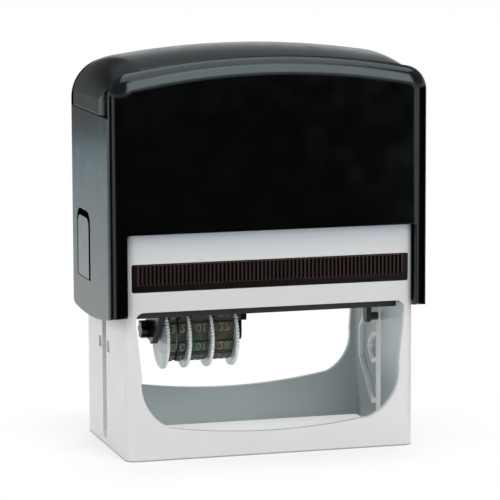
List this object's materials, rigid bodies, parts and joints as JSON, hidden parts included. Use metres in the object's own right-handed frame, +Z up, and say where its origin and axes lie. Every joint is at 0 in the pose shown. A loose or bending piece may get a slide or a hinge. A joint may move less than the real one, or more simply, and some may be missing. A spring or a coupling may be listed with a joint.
{
  "type": "self-inking date stamp",
  "caption": "Self-inking date stamp: a pressed-down cap on a light windowed frame, with a die plate that turns over and date bands on toothed wheels.",
  "frame": {"origin": "on the table, under the middle of the frame's rim", "axes": "+Z up along the cap's travel, +X along the stamp's length, -Y to the front with the ribbed cartridge face"},
  "size_m": [0.097, 0.056, 0.1196],
  "materials": {
    "frame_plastic": "satin",
    "cap_plastic": "gloss",
    "lid_plastic": "gloss",
    "cartridge_plastic": "satin",
    "carriage_plastic": "satin",
    "wheel_plastic": "translucent satin",
    "band_rubber": "matt",
    "die_rubber": "matt",
    "cushion_foam": "matt",
    "pad_felt": "inked felt",
    "spring_steel": "drawn wire",
    "pin_steel": "ground"
  },
  "bodies": {
    "frame": {"base_frame": "frame_plastic", "return_spring_left": "spring_steel", "return_spring_right": "spring_steel"},
    "cap": {"cap_shell": "cap_plastic"},
    "lid": {"top_lid": "lid_plastic"},
    "button_left": {"lock_button_left": "cap_plastic"},
    "button_right": {"lock_button_right": "cap_plastic"},
    "cartridge": {"ink_cartridge": "cartridge_plastic", "ink_pad": "pad_felt"},
    "carriage": {"carriage": "carriage_plastic", "pivot_pin_left": "pin_steel", "pivot_pin_right": "pin_steel", "die_cushion": "cushion_foam", "text_die": "die_rubber", "date_unit_frame": "carriage_plastic", "wheel_axle": "pin_steel", "clamp_knob": "carriage_plastic", "band_support": "carriage_plastic", "date_band_tens": "band_rubber", "date_band_units": "band_rubber", "date_band_month": "band_rubber", "date_band_year": "band_rubber"},
    "wheel_tens": {"date_wheel_tens": "wheel_plastic"},
    "wheel_units": {"date_wheel_units": "wheel_plastic"},
    "wheel_month": {"date_wheel_month": "wheel_plastic"},
    "wheel_year": {"date_wheel_year": "wheel_plastic"}
  },
  "joints": [
    {"name": "press", "type": "slide", "parent": "frame", "child": "cap", "axis": [0, 0, 1], "range_m": [-0.038, 0], "stiffness_N_per_m": 400, "springref_m": 0.025, "deforming": ["return_spring_left", "return_spring_right"]},
    {"name": "flip", "type": "hinge", "parent": "cap", "child": "carriage", "pos_m": [0, 0.0022, 0.04375], "axis": [1, 0, 0], "range_deg": [0, 180]},
    {"name": "cartridge_slide", "type": "slide", "parent": "frame", "child": "cartridge", "axis": [0, -1, 0], "range_m": [0, 0.045]},
    {"name": "lid_lift", "type": "slide", "parent": "cap", "child": "lid", "axis": [0, 0, 1], "range_m": [0, 0.025]},
    {"name": "lock_left", "type": "hinge", "parent": "cap", "child": "button_left", "pos_m": [-0.04545, 0.009, 0.0515], "axis": [0, 1, 0], "range_deg": [0, 4], "stiffness_Nm_per_rad": 0.05, "springref_deg": -2.86},
    {"name": "lock_right", "type": "hinge", "parent": "cap", "child": "button_right", "pos_m": [0.04545, 0.009, 0.0515], "axis": [0, -1, 0], "range_deg": [0, 4], "stiffness_Nm_per_rad": 0.05, "springref_deg": -2.86},
    {"name": "turn_tens", "type": "hinge", "parent": "carriage", "child": "wheel_tens", "pos_m": [-0.0265, 0.0022, 0.0317], "axis": [1, 0, 0], "continuous": true},
    {"name": "turn_units", "type": "hinge", "parent": "carriage", "child": "wheel_units", "pos_m": [-0.0198, 0.0022, 0.0317], "axis": [1, 0, 0], "continuous": true},
    {"name": "turn_month", "type": "hinge", "parent": "carriage", "child": "wheel_month", "pos_m": [-0.0128, 0.0022, 0.0317], "axis": [1, 0, 0], "continuous": true},
    {"name": "turn_year", "type": "hinge", "parent": "carriage", "child": "wheel_year", "pos_m": [-0.0051, 0.0022, 0.0317], "axis": [1, 0, 0], "continuous": true}
  ],
  "couplings": [
    {"joint": "flip", "follows": "press", "rad_per_m": -82.673}
  ]
}
